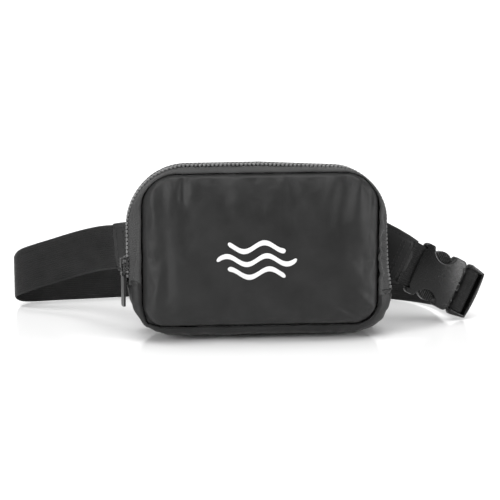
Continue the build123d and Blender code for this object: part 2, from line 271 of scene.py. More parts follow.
def applied(obj, modifier_type=None, **settings):
    """Adds a modifier if one is named, and applies all of the object's modifiers."""
    if modifier_type:
        modifier = obj.modifiers.new(modifier_type, modifier_type)
        for key, value in settings.items():
            setattr(modifier, key, value)
    evaluated = obj.evaluated_get(bpy.context.evaluated_depsgraph_get())
    mesh = bpy.data.meshes.new_from_object(evaluated, preserve_all_data_layers=True,
                                           depsgraph=bpy.context.evaluated_depsgraph_get())
    obj.modifiers.clear()
    obj.data = mesh
    return obj


def thicken(obj, thickness):
    """Gives a sheet its thickness, inward from its outer face."""
    return applied(obj, "SOLIDIFY", thickness=thickness * MM, offset=-1.0, use_even_offset=False)


def coordinates(obj):
    return np.array([v.co for v in obj.data.vertices]) / MM


def set_coordinates(obj, points):
    obj.data.vertices.foreach_set("co", (points * MM).astype(np.float32).ravel())
    obj.data.update()


def joined(name, parts, material):
    """One mesh of several (points, faces) parts."""
    points, faces, count = [], [], 0
    for part_points, part_faces in parts:
        points.append(part_points)
        faces += [[i + count for i in face] for face in part_faces]
        count += len(part_points)
    return make_mesh(name, np.concatenate(points), faces, material)


# Moulded plastic shapes come from distance fields, so that every edge is rounded.


def field_grid(field, axes):
    """A distance field's values at the points of a grid."""
    grid = openvdb.FloatGrid(1.0)
    grid.copyFromArray(field(*np.meshgrid(*axes, indexing="ij")).astype(np.float32))
    return grid


def field_mesh(name, field, low, high, voxel, matrix, material):
    """The closed surface where field(x, y, z) is zero, in a local box in millimetres."""
    axes = [np.arange(a, b + voxel, voxel) for a, b in zip(low, high)]
    points, quads = field_grid(field, axes).convertToQuads(0.0)
    points = np.asarray(points) * voxel + np.array(low)
    points = points @ np.array(matrix)[:3, :3].T + np.array(matrix)[:3, 3]
    return make_mesh(name, points, np.asarray(quads)[:, ::-1].tolist(), material)


def rounded_box(x, y, z, centre, half, radius):
    qx = abs(x - centre[0]) - half[0] + radius
    qy = abs(y - centre[1]) - half[1] + radius
    qz = abs(z - centre[2]) - half[2] + radius
    outside = np.sqrt(np.maximum(qx, 0) ** 2 + np.maximum(qy, 0) ** 2 + np.maximum(qz, 0) ** 2)
    return outside + np.minimum(np.maximum(qx, np.maximum(qy, qz)), 0) - radius


def rounded_slab(flat, z, half, radius):
    """A flat outline's distance made into a slab with rounded edges."""
    q, w = flat + radius, abs(z) - half + radius
    outside = np.sqrt(np.maximum(q, 0) ** 2 + np.maximum(w, 0) ** 2)
    return outside + np.minimum(np.maximum(q, w), 0) - radius


def rounded_rectangle(x, y, centre, half, radius):
    qx, qy = abs(x - centre[0]) - half[0] + radius, abs(y - centre[1]) - half[1] + radius
    outside = np.sqrt(np.maximum(qx, 0) ** 2 + np.maximum(qy, 0) ** 2)
    return outside + np.minimum(np.maximum(qx, qy), 0) - radius


def blended_union(a, b, width):
    """Both shapes, their joint rounded over a width."""
    h = clamp(0.5 + 0.5 * (b - a) / width)
    return b * (1 - h) + a * h - width * h * (1 - h)


def cut_from(a, b, width=0.6):
    """Shape a with shape b taken out, the new edge rounded over a width."""
    return -blended_union(-a, b, width)


# ---------------------------------------------------------------- materials


class Shader:
    """A material under construction, with short names for the nodes that it uses."""

    def __init__(self, name, **constants):
        self.material = bpy.data.materials.new(name)
        self.material.use_nodes = True
        self.nodes = self.material.node_tree.nodes
        self.links = self.material.node_tree.links
        self.surface = self.nodes["Principled BSDF"]
        for key, value in constants.items():
            self.surface.inputs[key.replace("_", " ")].default_value = value

    def node(self, kind, inputs, output=0, **settings):
        made = self.nodes.new(kind)
        for key, value in settings.items():
            setattr(made, key, value)
        for key, value in inputs.items():
            if isinstance(value, bpy.types.NodeSocket):
                self.links.new(value, made.inputs[key])
            elif value is not None:
                made.inputs[key].default_value = value
        return made.outputs[output]

    def math(self, operation, a, b=None, c=None):
        return self.node("ShaderNodeMath", {0: a, 1: b, 2: c}, operation=operation)

    def noise(self, where, scale, detail=2.0, roughness=0.5):
        return self.node("ShaderNodeTexNoise", {"Vector": where, "Scale": scale, "Detail": detail,
                                                "Roughness": roughness}, output=0)

    def between(self, value, low, high, to_low=0.0, to_high=1.0):
        return self.node("ShaderNodeMapRange", {0: value, 1: low, 2: high, 3: to_low, 4: to_high})

    def mix(self, share, a, b):
        return self.node("ShaderNodeMix", {0: share, 6: a, 7: b}, output=2, data_type="RGBA")

    def bump(self, height, distance, strength=1.0, normal=None):
        return self.node("ShaderNodeBump", {"Height": height, "Distance": distance * MM,
                                            "Strength": strength, "Normal": normal})

    def wave(self, along, pitch):
        """A sine from -1 to 1 with a pitch in millimetres."""
        return self.math("SINE", self.math("MULTIPLY", along, 2 * pi / pitch))

    def finish(self, colour=None, roughness=None, normal=None):
        for key, value in (("Base Color", colour), ("Roughness", roughness), ("Normal", normal)):
            if value is not None:
                self.links.new(value, self.surface.inputs[key])
        return self.material


def grey(value, warm=0.0):
    return (value * (1 + warm), value, value * (1 - warm), 1.0)


def cloth_shader(name, dark, light, pitch, depth, roughness, twill=False, **constants):
    """Woven cloth: threads with painted shade in the gaps between them, slow changes of colour and faint
    creases.
    """
    shader = Shader(name, **constants)
    weave = shader.node("ShaderNodeAttribute", {}, output=1, attribute_name="weave")
    split = shader.nodes.new("ShaderNodeSeparateXYZ")
    shader.links.new(weave, split.inputs[0])
    u, v = split.outputs[0], split.outputs[1]
    if twill:
        threads = shader.wave(shader.math("ADD", u, v), pitch)
    else:
        threads = shader.math("MULTIPLY", shader.wave(u, 2 * pitch), shader.wave(v, 2 * pitch))
    slow = shader.noise(weave, 0.045, 3.0)
    fine = shader.noise(weave, 1.7, 2.0)
    crease = shader.noise(weave, 0.16, 4.0, 0.6)
    colour = shader.mix(shader.between(slow, 0.3, 0.7), dark, light)
    # painted shade: the colour is darkened in the gaps between the threads
    gap_shade = shader.between(threads, -1.0, 0.2, 0.72, 1.0)
    shade = shader.node("ShaderNodeVectorMath", {0: colour, 3: gap_shade}, operation="SCALE")
    rough = shader.between(shader.math("ADD", slow, fine), 0.7, 1.3, roughness - 0.05, roughness + 0.05)
    creased = shader.bump(crease, 0.5, 0.35)
    normal = shader.bump(threads, depth, 0.7, creased)
    return shader.finish(shade, rough, normal)


def webbing_shader(name, dark, light):
    """Nylon webbing: narrow ribs along its length, crossed by the weft, with painted shade in the hollows
    between them and paler worn edges.
    """
    shader = Shader(name, Specular_IOR_Level=0.14)
    weave = shader.node("ShaderNodeAttribute", {}, output=1, attribute_name="weave")
    split = shader.nodes.new("ShaderNodeSeparateXYZ")
    shader.links.new(weave, split.inputs[0])
    u, v = split.outputs[0], split.outputs[1]
    ribs = shader.wave(v, 1.6)
    zigzag = shader.math("MULTIPLY", shader.math("ABSOLUTE", ribs), 0.7)
    weft = shader.wave(shader.math("ADD", u, zigzag), 0.9)
    height = shader.math("ADD", ribs, shader.math("MULTIPLY", weft, 0.6))
    slow = shader.noise(weave, 0.06, 3.0)
    streak = shader.noise(shader.node("ShaderNodeVectorMath", {0: weave, 1: (0.03, 1.4, 1.0)},
                                      operation="MULTIPLY"), 1.0, 3.0)
    edge = shader.between(shader.math("ABSOLUTE", v), 15.2, 17.0)
    share = shader.math("ADD", shader.between(slow, 0.3, 0.7, 0.0, 0.5),
                        shader.between(streak, 0.3, 0.7, 0.0, 0.5))
    colour = shader.mix(shader.math("ADD", share, shader.math("MULTIPLY", edge, 0.5)), dark, light)
    # painted shade: the colour is darkened in the hollows between the ribs and the weft
    gap_shade = shader.between(height, -1.3, 0.6, 0.55, 1.0)
    shade = shader.node("ShaderNodeVectorMath", {0: colour, 3: gap_shade}, operation="SCALE")
    rough = shader.between(streak, 0.3, 0.7, 0.28, 0.42)
    return shader.finish(shade, rough, shader.bump(height, 0.16, 0.8))


def moulded_shader(name, dark, light, grain, roughness, **constants):
    """Moulded plastic or coated metal: fine grain, slow sheen changes and small scuffs."""
    shader = Shader(name, **constants)
    place = shader.node("ShaderNodeTexCoord", {}, output=3)
    slow = shader.noise(place, 60.0, 3.0)
    fine = shader.noise(place, grain, 2.0)
    scuff = shader.noise(shader.node("ShaderNodeVectorMath", {0: place, 1: (700.0, 90.0, 300.0)},
                                     operation="MULTIPLY"), 1.0, 5.0, 0.7)
    scratch = shader.between(scuff, 0.62, 0.72)
    colour = shader.mix(shader.between(slow, 0.3, 0.7), dark, light)
    worn = shader.mix(shader.math("MULTIPLY", scratch, 0.25), colour, grey(light[0] * 2.5))
    rough = shader.math("ADD", shader.between(fine, 0.3, 0.7, roughness - 0.04, roughness + 0.06),
                        shader.math("MULTIPLY", scratch, 0.12))
    return shader.finish(worn, rough, shader.bump(fine, 0.03, 0.5))


shell_cloth = cloth_shader("shell_nylon", grey(0.013), grey(0.020), 0.42, 0.05, 0.44,
                           Specular_IOR_Level=0.2, Sheen_Weight=0.06, Sheen_Roughness=0.35)
lining_cloth = cloth_shader("lining_polyester", grey(0.055), grey(0.07), 0.6, 0.05, 0.6, twill=True,
                            Specular_IOR_Level=0.3, Sheen_Weight=0.15)
tape_cloth = cloth_shader("zip_tape", grey(0.022), grey(0.034), 0.75, 0.12, 0.62,
                          Specular_IOR_Level=0.28, Sheen_Weight=0.15)
webbing_cloth = webbing_shader("webbing_nylon", grey(0.006), grey(0.018))
thread = moulded_shader("thread", grey(0.018), grey(0.032), 2500.0, 0.55, Specular_IOR_Level=0.25)
tooth_plastic = moulded_shader("tooth_plastic", grey(0.09), grey(0.15), 1500.0, 0.32,
                               Specular_IOR_Level=0.5)
buckle_plastic = moulded_shader("buckle_acetal", grey(0.005), grey(0.009), 1800.0, 0.24,
                                Specular_IOR_Level=0.26)
slider_metal = moulded_shader("slider_black_nickel", grey(0.035), grey(0.06), 1200.0, 0.28, Metallic=0.85)
tab_metal = moulded_shader("puller_gunmetal", grey(0.022), grey(0.045), 1200.0, 0.3, Metallic=0.8)
print_ink = moulded_shader("print_ink", grey(0.62), grey(0.70), 900.0, 0.5, Specular_IOR_Level=0.3)

# ---------------------------------------------------------------- front panel
panel_cell = 3.0
crown = front_y - panel_low[1]
groove = 1.0            # half the width of the front seam's groove
groove_depth = 2.4
shell_thickness, tape_thickness, lining_thickness = 1.2, 0.7, 0.5
swell_limit = 5.0       # how far a point may move in the simulation, in millimetres


def seam_distance(x, z):
    """How far a point of the front lies inside the front seam."""
    middle = (seam_low + seam_high) / 2
    radius = np.where(z > middle, high_radius, low_radius)
    qx = abs(x) - seam_half + radius
    qz = abs(z - middle) - (seam_high - seam_low) / 2 + radius
    outside = np.sqrt(np.maximum(qx, 0) ** 2 + np.maximum(qz, 0) ** 2)
    return radius - outside - np.minimum(np.maximum(qx, qz), 0)


def coons_patch(columns, rows, out, y=front_y):
    """A grid that fills the outline at a depth, its corners at the middles of the arcs."""
    marks = [(piece_starts[k] + piece_ends[k]) / 2 for k in (7, 1, 3, 5)]
    low_line = np.linspace(marks[0], marks[1] + perimeter, columns + 1)
    right_line = np.linspace(marks[1], marks[2], rows + 1)
    high_line = np.linspace(marks[3], marks[2], columns + 1)
    left_line = np.linspace(marks[0], marks[3], rows + 1)

    def at(line):
        x, z, _, _ = outline(line, y, out + (wave_at(line) if y == front_y else 0.0))
        return np.stack([x, z], -1)

    low, right, high, left = (at(line) for line in (low_line, right_line, high_line, left_line))
    a = np.linspace(0, 1, columns + 1)[:, None, None]
    b = np.linspace(0, 1, rows + 1)[None, :, None]
    corners = ((1 - a) * (1 - b) * low[0] + a * (1 - b) * low[-1]
               + (1 - a) * b * high[0] + a * b * high[-1])
    return ((1 - b) * low[:, None] + b * high[:, None]
            + (1 - a) * left[None] + a * right[None] - corners)


def sheet(name, x, y, z, material, inside_out=False):
    """A grid of points as cloth whose weave runs along x and z."""
    faces = grid_faces(*x.shape)
    if inside_out:
        faces = [face[::-1] for face in faces]
    return make_mesh(name, np.stack([x, y, z], -1), faces, material, np.stack([x, z, 0 * x], -1))


def border(shape):
    """Which points of a grid lie on its edge."""
    on_edge = np.zeros(shape, bool)
    on_edge[[0, -1], :] = on_edge[:, [0, -1]] = True
    return on_edge.ravel()


# soft folds of the stuffed cloth: from (x, z) to (x, z), width, height
front_folds = [
    ((-55, 125), (-57, 108), 2.0, -3.0),
    ((-51, 124), (-50, 112), 2.6, 1.8),
    ((-79, 112), (-78, 30), 5.0, 1.5),
    ((-70, 104), (-68, 34), 4.5, -1.2),
    ((-60, 96), (-62, 44), 5.0, 0.9),
    ((72, 120), (68, 92), 5.0, 2.4),
    ((62, 122), (57, 96), 5.0, -2.2),
    ((52, 121), (49, 104), 4.0, 1.2),
    ((79, 104), (76, 62), 4.0, -1.6),
    ((0, 36), (56, 12), 9.0, 2.0),
    ((22, 46), (74, 26), 8.0, -1.8),
    ((72, 34), (86, 22), 3.2, 2.0),
    ((62, 24), (82, 13), 3.0, -2.0),
    ((20, 123), (24, 106), 4.0, -1.4),
    ((-20, 124), (-14, 98), 6.0, 1.0),
    ((-30, 13), (-25, 32), 4.5, -1.5),
    ((-12, 13), (-10, 26), 4.0, 1.0),
    ((-66, 13), (-54, 36), 6.0, 1.5),
    ((28, 14), (30, 30), 4.0, -1.0),
]


def fold_height(x, z, folds):
    """How far the soft folds stand out at points of the front."""
    total = np.zeros_like(x)
    for (x0, z0), (x1, z1), width, height in folds:
        dx, dz = x1 - x0, z1 - z0
        length = (dx * dx + dz * dz) ** 0.5
        along = ((x - x0) * dx + (z - z0) * dz) / length
        across = ((x - x0) * dz - (z - z0) * dx) / length
        ends = np.maximum(0, -along) + np.maximum(0, along - length)
        spread = width * (0.7 + 0.6 * clamp(along / length))
        total += height * np.exp(-(across / spread) ** 2 - (ends / (0.35 * length)) ** 2)
    return total


def seam_puckers(s, distance):
    """Small pleats that fan out from a seam."""
    pitch = soft_noise(s / 4.6, 1.7) + 0.5 * soft_noise(s / 2.2, 5.2)
    strong = np.clip(0.35 + 1.2 * soft_noise(s / 34.0, 12.0), 0.15, 1.0)
    return pitch * strong * np.exp(-distance / 5.0)


pucker_table = seam_puckers(station_table, 0.0)


def swell(obj, pinned, pressure, cap, growth, frames=20):
    """Inflates a pinned sheet by cloth simulation; no point ends further than cap from its start."""
    start = coordinates(obj)
    group = obj.vertex_groups.new(name="pin")
    group.add(np.nonzero(pinned)[0].tolist(), 1.0, "REPLACE")
    settings = obj.modifiers.new("cloth", "CLOTH").settings
    settings.quality = 6
    settings.mass = 0.02
    settings.tension_stiffness = 20
    settings.compression_stiffness = 8
    settings.shear_stiffness = 4
    settings.bending_stiffness = 0.02
    settings.air_damping = 3
    settings.use_pressure = True
    settings.uniform_pressure_force = pressure
    settings.effector_weights.gravity = 0
    settings.vertex_group_mass = "pin"
    settings.shrink_min = -growth
    scene = bpy.context.scene
    for step in range(1, frames + 1):
        scene.frame_set(step)
    applied(obj)
    moved = coordinates(obj) - start
    length = np.linalg.norm(moved, axis=1, keepdims=True)
    set_coordinates(obj, start + moved * np.minimum(1, cap / np.maximum(length, 1e-6)))
    obj.vertex_groups.clear()
    scene.frame_set(1)


def front_depth(x, z, lift=0.0):
    """y of the stuffed front at a point, before its folds."""
    distance = np.maximum(seam_distance(x, z), 0)
    slump = 0.7 * np.exp(-((z - 42) / 26) ** 2 - (x / 62) ** 2)
    return front_y - (crown - lift) * (1 - np.exp(-distance / 7.0)) - slump


def make_front_panel():
    columns, rows = round(2 * seam_half / panel_cell), round((seam_high - seam_low) / panel_cell)
    flat = coons_patch(columns, rows, -groove)
    x, z = flat[..., 0], flat[..., 1]
    edge = clamp(seam_distance(x, z) / 9.0)
    ripple = 0.8 * soft_noise(x / 24, z / 34, 4.0) + 0.3 * soft_noise(x / 8, z / 13, 8.0)
    hem = clamp(seam_distance(x, z) / 3.0)
    y = front_depth(x, z) - fold_height(x, z, front_folds) * hem - ripple * edge
    panel = sheet("front_panel", x, y, z, shell_cloth)
    swell(panel, border(x.shape), pressure=2.0, cap=swell_limit, growth=0.007)
    applied(panel, "SUBSURF", levels=2, boundary_smooth="PRESERVE_CORNERS")
    x, y, z = coordinates(panel).T
    distance = np.maximum(seam_distance(x, z) - groove, 0)
    around = station_near(x, z)
    pleat = np.interp(around, station_table, pucker_table)
    reach = distance < 22
    y = y - 0.75 * pleat * np.exp(-distance / 4.5) * clamp(distance / 2.0) * reach
    rolled = groove_depth * (1 - clamp(distance / 2.2)) ** 2
    set_coordinates(panel, np.stack([x, y + rolled, z], -1))
    return panel


def station_near(x, z):
    """The seam's station nearest to points of the front."""
    line_x, line_z, _, _ = outline(station_table, front_y)
    tree = KDTree(len(station_table))
    for i, (a, b) in enumerate(zip(line_x, line_z)):
        tree.insert((a, b, 0), i)
    tree.balance()
    return np.array([station_table[tree.find((a, b, 0))[1]] for a, b in zip(x, z)])


front_panel = make_front_panel()


# ---------------------------------------------------------------- print on the front
# Three plain wave lines, cut from the panel's own surface so that they follow every fold.


def make_print():
    tree = BVHTree.FromObject(front_panel, bpy.context.evaluated_depsgraph_get())
    middle_x, middle_z = -4.2, 63.5
    length, height, gap, swing = 58.0, 4.6, 9.6, 3.1
    wavelength, short_share = 29.0, 0.72        # the outer lines are shorter
    above, below = 0.09, -0.05                  # the ink stands on the cloth, its edges go in
    across_steps, along_steps = 4, 116
    parts = []
    for line in (-1, 0, 1):
        span = length * (1.0 if line == 0 else short_share)
        points = []
        for i in range(along_steps + 1):
            t = i / along_steps
            x = (t - 0.5) * span
            wave = swing * sin(2 * pi * x / wavelength + line * 0.4)
            end = max(0.0, abs(x) - (span / 2 - height / 2))
            half = max(0.12, ((height / 2) ** 2 - end**2)) ** 0.5
            for j in range(across_steps + 1):
                z = middle_z + line * gap + wave + half * (2 * j / across_steps - 1)
                before = Vector(((middle_x + x) * MM, -0.2, z * MM))
                hit, normal, _, _ = tree.ray_cast(before, Vector((0, 1, 0)))
                lift = above if 0 < j < across_steps else below
                points.append(np.array(hit) / MM + lift * np.array(normal) * (-1 if normal.y > 0 else 1))
        parts.append((np.array(points), grid_faces(along_steps + 1, across_steps + 1)))
    return joined("front_print", parts, print_ink)


front_print = make_print()
fold_blend(front_print)

thicken(front_panel, shell_thickness)
fold_blend(front_panel)
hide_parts("front_panel_lower", "front_panel_upper")

# ---------------------------------------------------------------- bands round the pouch


def band(name, y0, y1, ends, material, cell, out=0.0, under=False, shape=None):
    """A band of cloth between two depths, above the zip's ends or (under) below them."""
    left_end, right_end = ends
    rows = max(2, round((y1 - y0) / cell))
    depth = np.linspace(y0, y1, rows + 1)
    left, right = side_station(left_end, -1, depth), side_station(right_end, 1, depth)
    if under:
        first, last = left, right + perimeter
    else:
        first, last = right, left
    columns = round(float(np.max(last - first)) / cell)
    a = np.linspace(0, 1, columns + 1)[:, None]
    s = first[None] * (1 - a) + last[None] * a
    y = np.broadcast_to(depth[None], s.shape)
    lift = out if shape is None else out + shape(s, y)
    points = drum(s, y, lift)
    faces = [face[::-1] for face in grid_faces(columns + 1, rows + 1)]
    obj = make_mesh(name, points, faces, material, np.stack([s, y, 0 * s], -1))
    return obj, s, y, points


def ends_beyond(distance):
    """The zip's two ends, moved down the sides by a distance."""
    return zip_end_left - distance, zip_end_right - distance


def front_edge(s, y):
    """The gusset's cloth turns in at the front seam, and pleats beside it."""
    depth = y - front_y
    pleat = np.interp(s % perimeter, station_table, pucker_table)
    inward = -1.5 * (1 - clamp(depth / 2.2)) ** 2
    return inward + groove + 0.5 * pleat * np.exp(-abs(depth - 3.5) / 3.0)


def hand_folds(s, y):
    """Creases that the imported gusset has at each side, deeper on the right where the tape rolls under."""
    depth = y - front_y
    right_middle = (piece_starts[2] + piece_ends[2]) / 2
    left_middle = (piece_starts[6] + piece_ends[6]) / 2
    right = bell(s % perimeter - right_middle, 26.0)
    left = bell(s % perimeter - left_middle - 4, 22.0)
    lean_left = (s % perimeter - left_middle) * 0.10
    lines = -4.2 * right * bell(depth - 3.4 - 0.9 * soft_noise(s / 9, 2.0), 1.3)
    lines += 2.0 * right * soft_noise(s / 4.5, depth / 6, 5.0)
    lines += -3.4 * left * bell(depth - 3.8 - lean_left, 1.1)
    lines += 0.6 * left * soft_noise(s / 5.0, depth / 5, 9.0)
    return lines * clamp((rear_tape_edge - y) / 5)


def tape_shape(s, y):
    """The front tape turns in at the seam, creases, and lies flat beside the teeth."""
    depth = y - front_y
    near_chain = clamp((front_row_low[1] - y) / 1.5)
    return front_edge(s, y) * clamp(1 - depth / 9) + hand_folds(s, y) * near_chain


def gusset_shape(s, y):
    """The lower gusset turns in at the seam and wrinkles, but lies flat where it stands on the floor."""
    depth = y - front_y
    middle = np.sin(clamp(depth / (back_y - front_y)) * pi)
    wander = 0.9 * soft_noise(s / 30, y / 22, 2.0) + 0.4 * soft_noise(s / 9, y / 15, 6.0)
    flat = clamp(1 - abs(drum(s, y)[..., 2]) / 3.0)
    fade = clamp(1 - depth / 12)
    below = 0.9 * soft_noise(s / 6.0, depth / 10, 7.0) * bell(depth - 9, 7.0)
    lines = below + hand_folds(s, y) * 0.7
    wrinkles = (wander * middle * 0.9 + lines) * (1 - flat)
    return front_edge(s, y) * fade + wrinkles - groove * 0.4 * (1 - fade)


behind_seam = 0.4       # where the front bands begin, behind the front seam
overlap = 0.6           # how far a band runs on past the teeth or the seam beside it
under_gusset = 2.0      # how far the tapes run on below the zip's ends
tape_cell, gusset_cell = 0.9, 1.4

front_tape, _, _, _ = band("front_tape", front_y + behind_seam, front_row_low[1] + overlap,
                           ends_beyond(under_gusset), tape_cloth, tape_cell, shape=tape_shape)
thicken(front_tape, tape_thickness)
fold_blend(front_tape)
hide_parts("front_tape_lower", "front_tape_upper")

rear_tape, _, _, _ = band("rear_tape_cloth", rear_row_high[1] - overlap, rear_tape_edge + 1.0,
                          ends_beyond(under_gusset), tape_cloth, tape_cell, out=-0.5)
thicken(rear_tape, tape_thickness)
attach(rear_tape, "root")
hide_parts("rear_tape")


def upper_shape(s, y):
    """The upper gusset has a folded lip beside the tape, with a stitched dip behind it."""
    depth = y - rear_tape_edge
    lip = 0.5 * bell(depth - 0.8, 1.0)
    stitch_dip = -0.35 * bell(depth - 2.6, 0.5)
    middle = np.sin(clamp(depth / (back_y - rear_tape_edge)) * pi)
    wander = 0.8 * soft_noise(s / 26, y / 20, 5.0) + 0.35 * soft_noise(s / 8, y / 12, 1.0)
    return lip + stitch_dip + wander * middle


top_gusset, _, _, _ = band("top_gusset_cloth", rear_tape_edge, back_y + overlap, ends_beyond(1.0),
                           shell_cloth, gusset_cell, shape=upper_shape)
thicken(top_gusset, shell_thickness)
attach(top_gusset, "root")
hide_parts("top_gusset")

lower_overlap = 1.6     # the lower gusset laps over the zip's ends
bottom_gusset, low_s, low_y, low_points = band(
    "bottom_gusset_cloth", front_y + behind_seam, back_y + overlap, ends_beyond(-lower_overlap),
    shell_cloth, gusset_cell, under=True, shape=gusset_shape)


def lap_over_zip_ends(obj, s, y, points):
    """Raises the folded ends of the lower gusset, with a dip along their stitching."""
    run = np.minimum(s - side_station(zip_end_left + lower_overlap, -1, y),
                     side_station(zip_end_right + lower_overlap, 1, y) + perimeter - s)
    lift = 1.2 * bell(run - 1.0, 1.4) - 0.8 * bell(run - 3.4, 0.7)
    lift += 0.5 * bell(run - 5.0, 0.9)
    lift *= clamp((y - front_y - 1.5) / 2.0)
    _, _, nx, nz = outline(s, y)
    moved = points + np.stack([nx * lift, 0 * nx, nz * lift], -1)
    set_coordinates(obj, moved.reshape(-1, 3))


lap_over_zip_ends(bottom_gusset, low_s, low_y, low_points)
thicken(bottom_gusset, shell_thickness)
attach(bottom_gusset, "root")
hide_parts("bottom_gusset", "zip_stops")

# ---------------------------------------------------------------- back panel
back_edge_y = box_mm("back_panel")[0][1]
back_face_y = box_mm("back_panel")[1][1]


def make_back_panel():
    """The padded back, softly rounded to its seam."""
    columns, rows = 58, 38
    flat = coons_patch(columns, rows, -0.8, back_y)
    x, z = flat[..., 0], flat[..., 1]
    edge = np.concatenate([flat[0], flat[-1], flat[:, 0], flat[:, -1]])
    distance = np.sqrt(((flat[:, :, None] - edge) ** 2).sum(-1)).min(-1)
    ripple = 0.35 * soft_noise(x / 24, z / 24, 14.0) * clamp(distance / 12)
    y = back_edge_y - 0.4 + (back_face_y - back_edge_y + 0.6) * (1 - np.exp(-distance / 3.5)) + ripple
    panel = sheet("back_panel_cloth", x, y, z, shell_cloth, inside_out=True)
    swell(panel, border(x.shape), pressure=0.6, cap=1.2, growth=0.006)
    applied(panel, "SUBSURF", levels=1, boundary_smooth="PRESERVE_CORNERS")
    return thicken(panel, shell_thickness)


back_panel = make_back_panel()
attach(back_panel, "root")
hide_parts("back_panel")

# ---------------------------------------------------------------- lining and inner pocket


def make_front_lining():
    columns, rows = 84, 54
    flat = coons_patch(columns, rows, -groove - 0.8)
    x, z = flat[..., 0], flat[..., 1]
    distance = np.maximum(seam_distance(x, z) - groove, 0)
    slack = 0.25 * soft_noise(x / 14, z / 12, 20.0) * clamp(distance / 8)
    y = front_depth(x, z, 2.4) + 2.6 + slack
    return thicken(sheet("front_lining", x, y, z, lining_cloth), lining_thickness)


front_lining = make_front_lining()
fold_blend(front_lining)
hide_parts("front_lining_lower", "front_lining_upper")


def make_lining():
    """The lining's cup: a wall inside the gusset that turns in over the back."""
    around = 300
    wall_y = np.linspace(rear_tape_edge + 0.5, back_y - 3.0, 16)
    s = np.linspace(0, perimeter, around + 1)[:-1][:, None]
    y = np.broadcast_to(wall_y[None], (around, len(wall_y)))
    slack = 0.35 * soft_noise(s / 16, y / 14, 30.0)
    wall = drum(s, y, -2.6 + slack - 0.2)
    rim = wall[:, -1]
    centre = np.array([0.0, back_y - 1.4, (seam_low + seam_high) / 2])
    floor_rows = [rim + (centre - rim) * f * np.array([1, 0, 1]) + np.array([0, 1.6 * min(1, f * 14), 0])
                  for f in (0.04, 0.1, 0.25, 0.45, 0.65, 0.85, 0.97)]
    points = np.concatenate([wall, np.stack(floor_rows, 1)], 1)
    rows = points.shape[1]
    faces = grid_faces(around, rows, wrap_rows=True)
    faces.append([i * rows + rows - 1 for i in range(around)])
    along = np.broadcast_to(np.arange(rows) * 1.5, (around, rows))
    weave = np.stack([np.broadcast_to(s, (around, rows)), along, 0 * along], -1)
    cup = make_mesh("lining_cup", points, faces, lining_cloth, weave)
    return thicken(cup, -lining_thickness)


lining = make_lining()
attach(lining, "root")
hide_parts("lining")


def make_pocket():
    """A flat pocket on the back's lining, sewn along three edges, with a hem at its mouth."""
    low, high = box_mm("inner_pocket")
    columns, rows = 60, 36
    a = np.linspace(-1, 1, columns + 1)[:, None]
    b = np.linspace(0, 1, rows + 1)[None]
    x = a * (high[0] - 0.5) + 0 * b
    z = low[2] + (high[2] - low[2]) * b + 0 * a
    edge = np.minimum(1, np.minimum((1 - abs(a)) * 9, b * 9))
    hem = 0.5 * bell(b - 0.97, 0.02)
    stand = (high[1] - low[1] - 0.9) * np.sin(edge * pi / 2)
    y = high[1] - 0.4 - stand - hem + 0.3 * soft_noise(x / 12, z / 12, 3.0)
    return thicken(sheet("pocket_cloth", x, y, z, lining_cloth), lining_thickness)


pocket = make_pocket()
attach(pocket, "root")
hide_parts("inner_pocket")

# ---------------------------------------------------------------- teeth
tooth_pitch = 3.0
tooth_top = 1.0         # how far a tooth stands above the gusset


def tooth_shape():
    """One moulded tooth: across from its tape to past the middle, along the chain, and out."""
    def field(a, c, n):
        foot = rounded_box(a, c, n, (0, 2.15, -0.35), (0.95, 1.05, 0.9), 0.35)
        neck = rounded_box(a, c, n, (0, 0.9, -0.35), (0.5, 0.9, 0.75), 0.3)
        head = rounded_box(a, c, n, (0, -0.1, -0.35), (0.68, 0.5, 0.85), 0.35)
        return blended_union(blended_union(foot, neck, 0.3), head, 0.3)

    voxel, adaptivity = 0.2, 0.35
    axes = [np.arange(low, high, voxel) for low, high in ((-1.6, 1.6), (-1.2, 3.8), (-1.8, 1.2))]
    points, triangles, quads = field_grid(field, axes).convertToPolygons(0.0, adaptivity)
    faces = [tuple(reversed(f)) for f in (*np.asarray(triangles).tolist(), *np.asarray(quads).tolist())]
    return np.asarray(points) * voxel + np.array([axis[0] for axis in axes]), faces


tooth_points, tooth_faces = tooth_shape()


def make_row(name, side):
    """Teeth along one edge of the zip; side is -1 for the front row and +1 for the rear one."""
    first = side_station(zip_end_right + stop_height + 1.2, 1, chain_y)
    last = side_station(zip_end_left + stop_height + 1.2, -1, chain_y)
    count = int((last - first) / tooth_pitch)
    stations = first + (np.arange(count + 1) + (0.5 if side > 0 else 0.0)) * (last - first) / (count + 0.5)
    parts = []
    for s in stations:
        x, z, nx, nz = (float(v) for v in outline(s, chain_y, slump_at(s, chain_y)))
        out = np.array([nx, 0, nz])
        along = np.array([-nz, 0, nx])
        across = np.array([0, float(side), 0])
        place = np.array([x, chain_y, z]) + out * (tooth_top - 0.55)
        a, c, n = tooth_points.T
        points = place + a[:, None] * along + c[:, None] * across + n[:, None] * out
        flipped = np.dot(np.cross(along, across), out) < 0
        parts.append((points, [face[::-1] for face in tooth_faces] if flipped else tooth_faces))
    return joined(name, parts, tooth_plastic)


front_row = make_row("front_teeth_row", -1)
fold_blend(front_row)
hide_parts("front_teeth_lower", "front_teeth_upper")

rear_row = make_row("rear_teeth_row", 1)
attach(rear_row, "root")
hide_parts("rear_teeth")

# ---------------------------------------------------------------- ribbons: belt and wings


